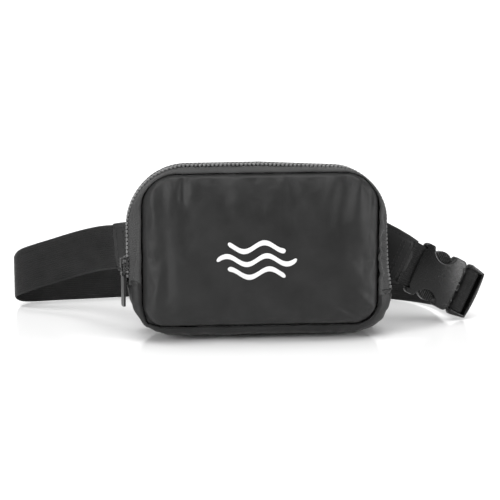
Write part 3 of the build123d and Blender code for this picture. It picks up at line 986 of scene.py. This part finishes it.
def clamped_spline(points, first_tangent, last_tangent, count):
    """A smooth curve through points, leaving and arriving along given directions."""
    points = np.array(points, float)
    step = np.linalg.norm(np.diff(points, axis=0), axis=1)
    knots = np.concatenate([[0], np.cumsum(step)])
    n = len(points)
    matrix, right = np.zeros((n, n)), np.zeros((n, 3))
    matrix[0, 0] = matrix[-1, -1] = 1
    right[0] = np.array(first_tangent) / np.linalg.norm(first_tangent)
    right[-1] = np.array(last_tangent) / np.linalg.norm(last_tangent)
    for i in range(1, n - 1):
        h0, h1 = step[i - 1], step[i]
        matrix[i, i - 1 : i + 2] = [h1, 2 * (h0 + h1), h0]
        right[i] = 3 * (h0 * (points[i + 1] - points[i]) / h1 + h1 * (points[i] - points[i - 1]) / h0)
    slope = np.linalg.solve(matrix, right)
    fine = np.linspace(0, knots[-1], 4 * count)
    k = np.clip(np.searchsorted(knots, fine, side="right") - 1, 0, n - 2)
    h = step[k][:, None]
    t = ((fine - knots[k]) / step[k])[:, None]
    curve = ((2 * t**3 - 3 * t**2 + 1) * points[k] + (t**3 - 2 * t**2 + t) * h * slope[k]
             + (-2 * t**3 + 3 * t**2) * points[k + 1] + (t**3 - t**2) * h * slope[k + 1])
    run = np.concatenate([[0], np.cumsum(np.linalg.norm(np.diff(curve, axis=0), axis=1))])
    even = np.linspace(0, run[-1], count)
    return np.stack([np.interp(even, run, curve[:, i]) for i in range(3)], -1), run[-1]


class Ribbon:
    """A strip along a curve: its middle line, width and lean, and the directions along, across and out."""

    def __init__(self, line, length, upright, width, square=1.0):
        self.line, self.length, self.width = line, length, width
        self.along = np.gradient(line, axis=0)
        self.along /= np.linalg.norm(self.along, axis=1, keepdims=True)
        self.across = upright - square * self.along * np.sum(upright * self.along, 1, keepdims=True)
        self.across /= np.linalg.norm(self.across, axis=1, keepdims=True)
        self.out = np.cross(self.along, self.across)
        self.out /= np.linalg.norm(self.out, axis=1, keepdims=True)

    def at(self, t, across, out):
        """Point at a share t of the length, a distance across and a distance out."""
        place = np.asarray(t, float) * (len(self.line) - 1)
        i = np.arange(len(self.line))

        def pick(values):
            return np.stack([np.interp(place, i, values[:, k]) for k in range(3)], -1)

        across, out = np.asarray(across)[..., None], np.asarray(out)[..., None]
        return pick(self.line) + pick(self.across) * across + pick(self.out) * out

    def solid(self, name, section, material):
        """A closed mesh; section gives (across share -1..1, out) pairs round the ribbon for each place."""
        count = len(self.line)
        half = self.width / 2
        rings, weaves = [], []
        for i in range(count):
            shape = np.array(section(i / (count - 1), half[i]))
            rings.append(self.line[i] + shape[:, :1] * half[i] * self.across[i] + shape[:, 1:] * self.out[i])
            along = i / (count - 1) * self.length
            weaves.append(np.stack([0 * shape[:, 0] + along, shape[:, 0] * half[i],
                                    np.sign(shape[:, 1])], -1))
        columns = len(rings[0])
        faces = grid_faces(count, columns, wrap_columns=True)
        faces.append(list(range(columns)))
        faces.append([(count - 1) * columns + i for i in reversed(range(columns))])
        return make_mesh(name, np.array(rings), faces, material, np.array(weaves))


def strip_section(half, thickness, steps, crown=0.0):
    """A flat strip with round edges; half is its half width."""
    side = [(2 * j / steps - 1) for j in range(steps + 1)]
    pairs = []
    for face in (1, -1):
        for a in side[::face]:
            near = (1 - abs(a)) * half
            round_edge = min(1.0, (near / (thickness * 0.6)) ** 0.5) if near > 0 else 0.12
            pairs.append((a, face * (thickness / 2 * round_edge + crown * (1 - a * a))))
    return pairs


prong_hinge = Vector(joints["upper_prong_flex"]["pos_m"]) / MM
buckle_axis = Vector(joints["buckle_slide"]["axis"]).normalized()
buckle_normal = Vector(joints["upper_prong_flex"]["axis"]).normalized()
buckle_up = buckle_normal.cross(buckle_axis)
hinge_along, hinge_up = 41.9, 12.0      # from the buckle's start to the upper prong's hinge
buckle_start = prong_hinge - buckle_axis * hinge_along - buckle_up * hinge_up
buckle_matrix = Matrix((buckle_axis, buckle_up, buckle_normal)).transposed().to_4x4()
buckle_matrix.translation = buckle_start


def on_buckle(x, y, z):
    """A point given along the buckle, across it and out of its face."""
    return buckle_start + buckle_axis * x + buckle_up * y + buckle_normal * z


bar_x, belt_back = 50.2, 8.0        # the male bar's place, and how far behind it the belt ends
web_width, web = 34.0, 1.5
bar_back = on_buckle(bar_x, 0, -belt_back)
belt_points = [
    (-103.6, 50.0, 57.7), (-121.8, 70.0, 51.8), (-135.0, 80.0, 46.6), (-150.5, 87.5, 40.6),
    (-166.5, 95.0, 34.4), (-178.0, 102.5, 28.6), (-182.5, 111.0, 23.4), (-177.0, 119.5, 18.8),
    (-160.0, 125.0, 17.3), (-130.0, 130.0, 17.2), (-90.0, 136.0, 17.2), (-30.0, 138.0, 17.2),
    (40.0, 133.5, 17.2), (90.0, 121.5, 17.2), (118.0, 109.0, 17.2), (138.0, 92.5, 17.8),
    (150.0, 73.0, 19.2), tuple(bar_back - buckle_normal * 13.0), tuple(bar_back),
]
left_belt_start = (-0.72, 0.68, -0.13)
belt_sections = 344
belt_line, belt_length = clamped_spline(belt_points, left_belt_start, buckle_normal, belt_sections)
belt_share = np.linspace(0, 1, belt_sections)
lean = clamp((belt_share - 0.8) / 0.2)[:, None]     # the last part turns to the buckle's tilt
belt_upright = np.array([0, 0, 1]) * (1 - lean) + np.array(buckle_up) * lean
fold_share = belt_share[np.argmin(belt_line[:, 0])]
square = 1 - bell(belt_share - fold_share, 0.035)[:, None]     # the fold's edge stands upright
belt = Ribbon(belt_line, belt_length, belt_upright, np.full(belt_sections, web_width), square)
belt_cloth = belt.solid("belt_webbing", lambda t, half: strip_section(half, web, 20), webbing_cloth)
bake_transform(belt_cloth)
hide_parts("belt")


def wing_section(t, half):
    """Two layers of cloth sewn 3 mm from their edges: full in the middle, thin at the hem."""
    steps = 36
    pairs = []
    for face in (1, -1):
        for j in range(steps + 1):
            a = (2 * j / steps - 1) * face
            near = (1 - abs(a)) * half
            body = 1.0 + 0.75 * (1 - np.exp(-max(0.0, near - 3.0) / 3.5))
            dip = 0.45 * bell(near - 3.0, 0.7)
            edge = min(1.0, (near / 1.1) ** 0.5) if near > 0 else 0.15
            pairs.append((a, face * (body - dip) * edge))
    return pairs


def make_wing(name, root, end, root_direction, end_direction, end_lean, count=60):
    """A tapered wing that turns from upright by a share of the buckle's tilt."""
    line, length = clamped_spline([root, end], root_direction, end_direction, count)
    t = np.linspace(0, 1, count)[:, None]
    upright = np.array([0, 0, 1]) * (1 - end_lean * t) + np.array(buckle_up) * end_lean * t
    width = wing_root + (wing_end - wing_root) * t[:, 0]
    wing = Ribbon(line, length, upright, width)
    return wing, wing.solid(name, wing_section, shell_cloth)


wing_root, wing_end = 44.0, 36.0
root_x = seam_half + profile[-1, 1] - 0.8
root_y = back_y - 1.2   # the wing's end is caught in the rear seam
root_height = 59.5
left_root = (-root_x, root_y, root_height)
right_root = (root_x, root_y, root_height)
left_wing, left_wing_cloth = make_wing("left_wing_cloth", left_root, belt_points[0], (-0.2, 1, 0),
                                       left_belt_start, 0.0)
right_wing, right_wing_cloth = make_wing("right_wing_cloth", right_root, tuple(on_buckle(-6, 0, 0)),
                                         (0.9, 0, -0.3), buckle_axis, 1.0)
for cloth_wing, node in ((left_wing_cloth, "left_wing"), (right_wing_cloth, "right_wing")):
    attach(cloth_wing, "root")
    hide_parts(node)

# ---------------------------------------------------------------- webbing loops at the buckle


def loop_mesh(name, path, thickness):
    """Webbing that lies round a bar, from a path of (x, z) in the buckle's frame."""
    line = [on_buckle(x, 0, z) for x, z in path]
    directions = [line[1] - line[0], line[-1] - line[-2]]
    count = 90
    middle, length = clamped_spline([tuple(p) for p in line], directions[0], directions[1], count)
    upright = np.broadcast_to(np.array(buckle_up), middle.shape)
    ribbon = Ribbon(middle, length, upright, np.full(count, web_width - 0.2))
    return ribbon.solid(name, lambda t, half: strip_section(half, thickness, 20), webbing_cloth)


wing_loop = loop_mesh("wing_loop_webbing", [
    (-9, 0.8), (-3, 1.3), (2, 1.6), (5.6, 1.2), (6.4, -1.2), (5.4, -3.4), (2, -3.9), (-3, -2.6), (-9, -0.9),
], 1.3)
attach(wing_loop, "root")
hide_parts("wing_loop")

bar_loop = loop_mesh("bar_loop_webbing", [
    (50.0, -7.6), (46.8, -6.2), (43.9, -3.4), (43.0, 0.2), (43.9, 2.9), (47.6, 3.7),
    (51.2, 3.0), (53.2, 0.4), (53.4, -3.4), (52.4, -6.2), (50.4, -7.6),
], 1.4)
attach(bar_loop, "male")
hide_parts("bar_loop")

# ---------------------------------------------------------------- buckle
buckle_half, female_end, male_end = 20.5, 42.0, 58.0
notch_x, notch_y, notch_radius = 18.5, 22.0, 10.0
slot_half = web_width / 2 + 0.1


def female_field(x, y, z):
    """The socket body: bowed faces, a notch in each side, the socket, and a bar for the webbing."""
    shown = female_end - 1.6        # shorter than the CAD, so that a gap shows beside the male frame
    flat = rounded_rectangle(x, y, (shown / 2, 0), (shown / 2, buckle_half), 3.4)
    for side in (1, -1):
        flat = cut_from(flat, np.hypot(x - notch_x, y - side * notch_y) - notch_radius, 1.4)
    half = 5.4 - 1.4 * (y / buckle_half) ** 2 - 2.0 * ((x - 20) / 22) ** 2
    body = rounded_slab(flat, z, half, 1.3)
    socket = rounded_box(x, y, z, (26.5, 0, 0), (17.5, 15.6, 3.0), 0.8)
    gap = rounded_box(x, y, z, (3.6, 0, -2.0), (4.6, slot_half, 5.0), 0.8)
    body = cut_from(cut_from(body, socket, 0.5), gap, 0.5)
    bar = rounded_slab(rounded_rectangle(x, z, (3.6, -1.4), (1.4, 1.2), 1.0), y, slot_half + 0.8, 0.2)
    return np.minimum(body, bar)


def male_field(x, y, z):
    """The male frame, with its openings for the webbing, and a ribbed guide tongue."""
    bow = 1.2 * (1 - (y / buckle_half) ** 2)
    frame_start, frame_end, half_width = 42.3, male_end + 1.2, buckle_half + 0.5
    flat = rounded_rectangle(x, y, ((frame_start + frame_end) / 2, 0),
                             ((frame_end - frame_start) / 2, half_width), 3.4)
    flat = np.maximum(np.maximum(flat, x - male_end - bow), abs(y) - half_width + 0.16 * (x - 44))
    half = 4.0 - 0.9 * (y / buckle_half) ** 2 - 0.9 * clamp((x - 51) / 7) ** 1.5
    frame_body = rounded_slab(flat, z, half, 1.1)
    for low, high, floor in ((44.3, 48.5, -9.0), (51.9, 54.3, -9.0), (52.5, 56.4, -2.0)):
        opening = rounded_rectangle(x, y, ((low + high) / 2, 0), ((high - low) / 2, slot_half), 0.9)
        frame_body = cut_from(frame_body, np.maximum(opening, floor - z), 0.5)
    trimmed = rounded_box(x, y, z, (50.2, 0, 5.2), (2.6, slot_half, 5.0), 0.2)
    under = rounded_box(x, y, z, (50.2, 0, -6.9), (2.6, slot_half, 5.0), 0.2)
    rail = rounded_box(x, y, z, (43.2, 0, 4.6), (2.2, slot_half, 4.2), 0.2)
    for cut in (trimmed, under, rail):
        frame_body = cut_from(frame_body, cut, 0.3)
    tongue = rounded_box(x, y, z, (29.6, 0, 0), (13.4, 3.5, 2.2), 0.9)
    ribs = rounded_box(x, abs(y), z, (32.0, 2.4, 0), (10.0, 0.5, 2.6), 0.4)
    return blended_union(frame_body, np.minimum(tongue, ribs), 0.8)


def prong_field(side):
    """A sprung arm with a ribbed thumb pad, above (1) or below (-1) the tongue."""
    def field(x, y, z):
        y = y * side
        arm = rounded_slab(rounded_rectangle(x, y, (33.5, 12.0), (8.6, 1.5), 0.7), z, 2.1, 0.6)
        lean_flat = rounded_rectangle(x, y + (x - 27) * 0.02, (24.5, 11.4), (3.2, 1.6), 0.8)
        lean_in = rounded_slab(lean_flat, z, 2.2, 0.6)
        head_long, head_high = 8.4, 7.4
        head_flat = np.hypot((x - 18.6) / head_long, (y - 12.4) / head_high) * head_high - head_high
        head_flat = np.maximum(head_flat, 9.7 - y)
        head = rounded_slab(head_flat, z, 2.7, 0.8)
        stripes = 0.22 * np.cos((x - 18.4) * 2 * pi / 1.7) * clamp((abs(z) - 1.2) / 1.2)
        return blended_union(blended_union(arm, lean_in, 1.0), head + stripes * (y > 11.2), 1.0)

    return field


body_voxel, prong_voxel = 0.36, 0.28
female = field_mesh("buckle_female_body", female_field, (-1, -22, -7), (43.5, 22, 7), body_voxel,
                    buckle_matrix, buckle_plastic)
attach(female, "root")
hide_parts("buckle_female")
male = field_mesh("buckle_male_body", male_field, (15, -22.4, -6), (61, 22.4, 6), body_voxel,
                  buckle_matrix, buckle_plastic)
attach(male, "male")
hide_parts("buckle_male")
for side, body, node in ((1, "upper_prong", "prong_upper"), (-1, "lower_prong", "prong_lower")):
    low_y, high_y = sorted((side * 8.5, side * 20))
    arm = field_mesh(f"{node}_arm", prong_field(side), (10.5, low_y, -4), (43.5, high_y, 4), prong_voxel,
                     buckle_matrix, buckle_plastic)
    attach(arm, body)
    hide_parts(node)

# ---------------------------------------------------------------- slider and puller
for node, material in (("slider_body", slider_metal), ("pull_ring", slider_metal), ("pull_tab", tab_metal)):
    frame["nodes"][node].data.materials.clear()
    frame["nodes"][node].data.materials.append(material)

# ---------------------------------------------------------------- stitches


def stitch(start, end, out, radius=0.24):
    """One thread stitch: it rises from the cloth, lies on it and goes back in."""
    start, end, out = np.array(start), np.array(end), np.array(out)
    along = end - start
    side = np.cross(along, out)
    side /= np.linalg.norm(side)
    rings = []
    for f, lift, size in ((0, -0.25, 0.5), (0.12, 0.0, 0.9), (0.5, 0.12, 1.0), (0.88, 0.0, 0.9),
                          (1, -0.25, 0.5)):
        centre = start + along * f + out * lift
        for k in range(6):
            angle = k * pi / 3
            rings.append(centre + radius * size * (side * cos(angle) + out * sin(angle)))
    faces = grid_faces(5, 6, wrap_columns=True)
    faces += [list(range(6)), [24 + k for k in reversed(range(6))]]
    return np.array(rings), faces


def stitch_row(points, outs, length=2.1, gap=0.9):
    """Stitches along a line of points, each with the direction that the cloth faces."""
    points, outs = np.array(points), np.array(outs)
    run = np.concatenate([[0], np.cumsum(np.linalg.norm(np.diff(points, axis=0), axis=1))])
    parts, place = [], 0.3
    while place + length < run[-1]:
        start, end = ([np.interp(v, run, points[:, k]) for k in range(3)] for v in (place, place + length))
        out = np.array([np.interp(place + length / 2, run, outs[:, k]) for k in range(3)])
        parts.append(stitch(start, end, out / np.linalg.norm(out)))
        place += length + gap
    return parts


def wing_stitches(wing, rows, columns):
    """Rows along the wing at distances from its edges, and columns across it at shares of its length."""
    parts = []
    for face in (1, -1):
        for near, edge in rows:
            t = np.linspace(0.04, 0.96, 50)
            half = np.interp(t, np.linspace(0, 1, len(wing.width)), wing.width / 2)
            points = wing.at(t, edge * (half - near), face * 0.72)
            parts += stitch_row(points, face * (wing.at(t, 0 * t, 0 * t + 1) - wing.at(t, 0 * t, 0 * t)))
        for share in columns:
            a = np.linspace(-1, 1, 30)
            half = float(np.interp(share, np.linspace(0, 1, len(wing.width)), wing.width / 2)) - 3.4
            t = np.full(30, share)
            points = wing.at(t, a * half, face * 1.72)
            parts += stitch_row(points, face * (wing.at(t, 0 * t, 0 * t + 1) - wing.at(t, 0 * t, 0 * t)))
    return parts


left_threads = joined("left_wing_stitches", wing_stitches(left_wing, [(3, 1), (3, -1)], [0.66, 0.9]), thread)
right_threads = joined("right_wing_stitches",
                       wing_stitches(right_wing, [(3, 1), (3, -1)], [0.62, 0.7, 0.84, 0.92]), thread)


def drum_stitches(stations, y, out):
    """Points on the pouch's side for a row of stitches, and the directions that the cloth faces there."""
    x, z, nx, nz = outline(stations, y, out + slump_at(stations, y))
    return np.stack(np.broadcast_arrays(x, y, z), -1), np.stack([nx, 0 * nx, nz], -1)


def make_pouch_stitches():
    """A row beside each cross seam, and one round the upper gusset behind its lip."""
    parts = []
    for side, end in ((-1, zip_end_left), (1, zip_end_right)):
        y = np.linspace(front_y + 3, rear_tape_edge + 1, 16)
        s = side_station(end + lower_overlap - 3.6, side, y)
        parts += stitch_row(*drum_stitches(s, y, 0.15))
    first = side_station(zip_end_right, 1, rear_tape_edge)
    last = side_station(zip_end_left, -1, rear_tape_edge)
    s = np.linspace(first, last, 400)
    y = np.full(len(s), rear_tape_edge + 2.6)
    parts += stitch_row(*drum_stitches(s, y, -0.1))
    return parts


pouch_threads = joined("pouch_stitches", make_pouch_stitches(), thread)
for threads in (left_threads, right_threads, pouch_threads):
    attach(threads, "root")

# ---------------------------------------------------------------- stage, light and camera


def make_stage():
    """A pale floor that softly reflects."""
    bpy.ops.mesh.primitive_circle_add(vertices=96, radius=12, fill_type="NGON")
    floor = bpy.context.object
    floor.name = "studio_floor"
    shader = Shader("floor_gloss", Base_Color=grey(0.85), Specular_IOR_Level=0.4)
    place = shader.node("ShaderNodeTexCoord", {}, output=3)
    rough = shader.between(shader.noise(place, 3.0), 0.3, 0.7, 0.14, 0.18)
    floor.data.materials.append(shader.finish(None, rough))


def area_light(name, place, target, size, power):
    light = bpy.data.objects.new(name, bpy.data.lights.new(name, "AREA"))
    light.data.shape = "RECTANGLE"
    light.data.size, light.data.size_y = size
    light.data.energy = power
    light.location = place
    light.rotation_euler = (Vector(target) - Vector(place)).to_track_quat("-Z", "Y").to_euler()
    bpy.context.scene.collection.objects.link(light)


make_stage()
world = bpy.data.worlds.new("studio")
bpy.context.scene.world = world
world.use_nodes = True
world.node_tree.nodes["Background"].inputs["Color"].default_value = (1, 1, 1, 1)
world.node_tree.nodes["Background"].inputs["Strength"].default_value = 0.14
# name, place, target, size in metres, power in watts
area_light("backdrop_box", (0, 7.0, 1.6), (0, 0, 1.6), (16.0, 3.2), 220)
area_light("left_box", (-1.25, -0.95, 0.55), (-0.1, 0, 0.05), (0.35, 0.8), 21)
area_light("front_box", (-0.70, -1.35, 0.80), (0, 0, 0.07), (0.3, 0.7), 3.5)
area_light("right_box", (1.45, -0.50, 0.30), (0.12, 0, 0.06), (0.42, 0.5), 13)
sun = bpy.data.objects.new("sun", bpy.data.lights.new("sun", "SUN"))
sun.data.energy, sun.data.angle = 3.3, radians(60)
sun.rotation_euler = Vector((0.04, 0.16, -1.0)).to_track_quat("-Z", "Y").to_euler()
bpy.context.scene.collection.objects.link(sun)
bpy.context.scene.view_settings.view_transform = "Standard"

azimuth, elevation = radians(-5.0), radians(11.0)
camera_distance = 1.400
focus = Vector((-0.008, -0.026, 0.0685))
metres_per_pixel = 0.725 * MM
frame_pixels = 500
sensor = 36.0
back = Vector((sin(azimuth) * cos(elevation), -cos(azimuth) * cos(elevation), sin(elevation)))
camera = bpy.data.objects.new("camera", bpy.data.cameras.new("camera"))
camera.data.sensor_width = sensor
camera.data.lens = sensor * camera_distance / (metres_per_pixel * frame_pixels)
camera.location = focus + back * camera_distance
camera.rotation_euler = (-back).to_track_quat("-Z", "Y").to_euler()
bpy.context.scene.collection.objects.link(camera)
bpy.context.scene.camera = camera
